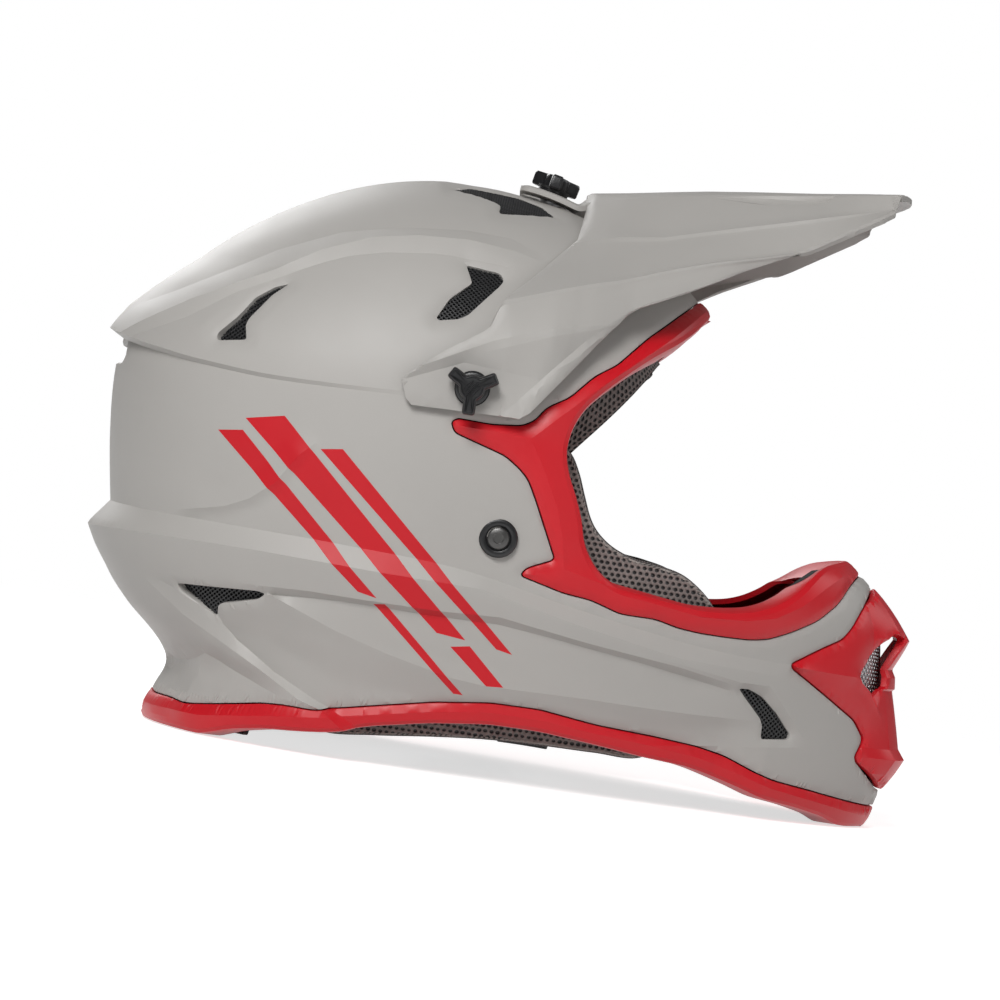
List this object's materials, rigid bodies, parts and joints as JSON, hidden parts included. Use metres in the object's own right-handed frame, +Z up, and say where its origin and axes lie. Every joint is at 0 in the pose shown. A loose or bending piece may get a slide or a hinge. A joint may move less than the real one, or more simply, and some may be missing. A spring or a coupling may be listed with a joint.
{
  "type": "full-face bicycle helmet",
  "caption": "Full-face cycling helmet: shell with chin bar, tilting visor on thumb screws, trims, mesh vents, foam liner, pads and a D-ring chin strap.",
  "frame": {"origin": "centre of the bounding box at the bottom, on the surface that the helmet stands on", "axes": "+X forward out of the visor, +Y to the wearer's left, +Z up; the rim stands on z = 0"},
  "size_m": [0.3734, 0.2652, 0.2775],
  "materials": {
    "shell_grey": "matte painted shell, light warm grey",
    "trim_red": "satin red moulding",
    "steel_mesh": "woven metal mesh",
    "black_mesh": "moulded black mesh",
    "black_plastic": "satin black moulding",
    "black_rubber": "matt",
    "steel": "satin steel",
    "foam": "black moulded bead foam",
    "pad_grey": "grey-brown spacer mesh over foam",
    "roll_black": "black knit over foam",
    "webbing": "black woven webbing"
  },
  "bodies": {
    "helmet": {"outer_shell": "shell_grey", "eyeport_trim": "trim_red", "base_trim": "trim_red", "mouthpiece": "trim_red", "mouth_mesh": "steel_mesh", "crown_vent_meshes": "black_mesh", "front_vent_meshes": "black_mesh", "side_vent_meshes": "black_mesh", "lower_vent_meshes": "black_mesh", "chin_vent_meshes": "black_mesh", "rear_slot_mesh": "steel_mesh", "screw_washers": "black_rubber", "screw_inserts": "steel", "strap_rivets": "steel", "rivet_rings": "black_plastic", "rivet_plates": "steel", "eps_liner": "foam", "cheek_block_right": "foam", "cheek_block_left": "foam", "chin_foam": "foam", "crown_pads": "pad_grey", "brow_pad": "pad_grey", "cheek_pad_right": "pad_grey", "cheek_pad_left": "pad_grey", "neck_roll": "roll_black", "strap_right": "webbing", "strap_left": "webbing", "strap_snap": "black_plastic"},
    "visor": {"visor": "shell_grey"},
    "screw_right": {"side_screw_right": "black_plastic"},
    "screw_left": {"side_screw_left": "black_plastic"},
    "screw_top": {"top_screw": "black_plastic"},
    "ring_inner": {"d_ring_inner": "steel"},
    "ring_outer": {"d_ring_outer": "steel"}
  },
  "joints": [
    {"name": "visor_tilt", "type": "hinge", "parent": "helmet", "child": "visor", "pos_m": [-0.026, 0, 0.16], "axis": [0, -1, 0], "range_deg": [-4, 2]},
    {"name": "screw_right_turn", "type": "hinge", "parent": "helmet", "child": "screw_right", "pos_m": [-0.026, -0.12, 0.16], "axis": [0, -1, 0], "continuous": true},
    {"name": "screw_left_turn", "type": "hinge", "parent": "helmet", "child": "screw_left", "pos_m": [-0.026, 0.12, 0.16], "axis": [0, 1, 0], "continuous": true},
    {"name": "screw_top_turn", "type": "hinge", "parent": "helmet", "child": "screw_top", "pos_m": [-0.00729, 0, 0.24803], "axis": [0.2079, 0, 0.9781], "continuous": true},
    {"name": "ring_inner_swing", "type": "hinge", "parent": "helmet", "child": "ring_inner", "pos_m": [0.018, -0.034, 0.0185], "axis": [1, 0, 0], "range_deg": [-3, 3]},
    {"name": "ring_outer_swing", "type": "hinge", "parent": "helmet", "child": "ring_outer", "pos_m": [0.018, -0.034, 0.025], "axis": [1, 0, 0], "range_deg": [-3, 3]}
  ]
}
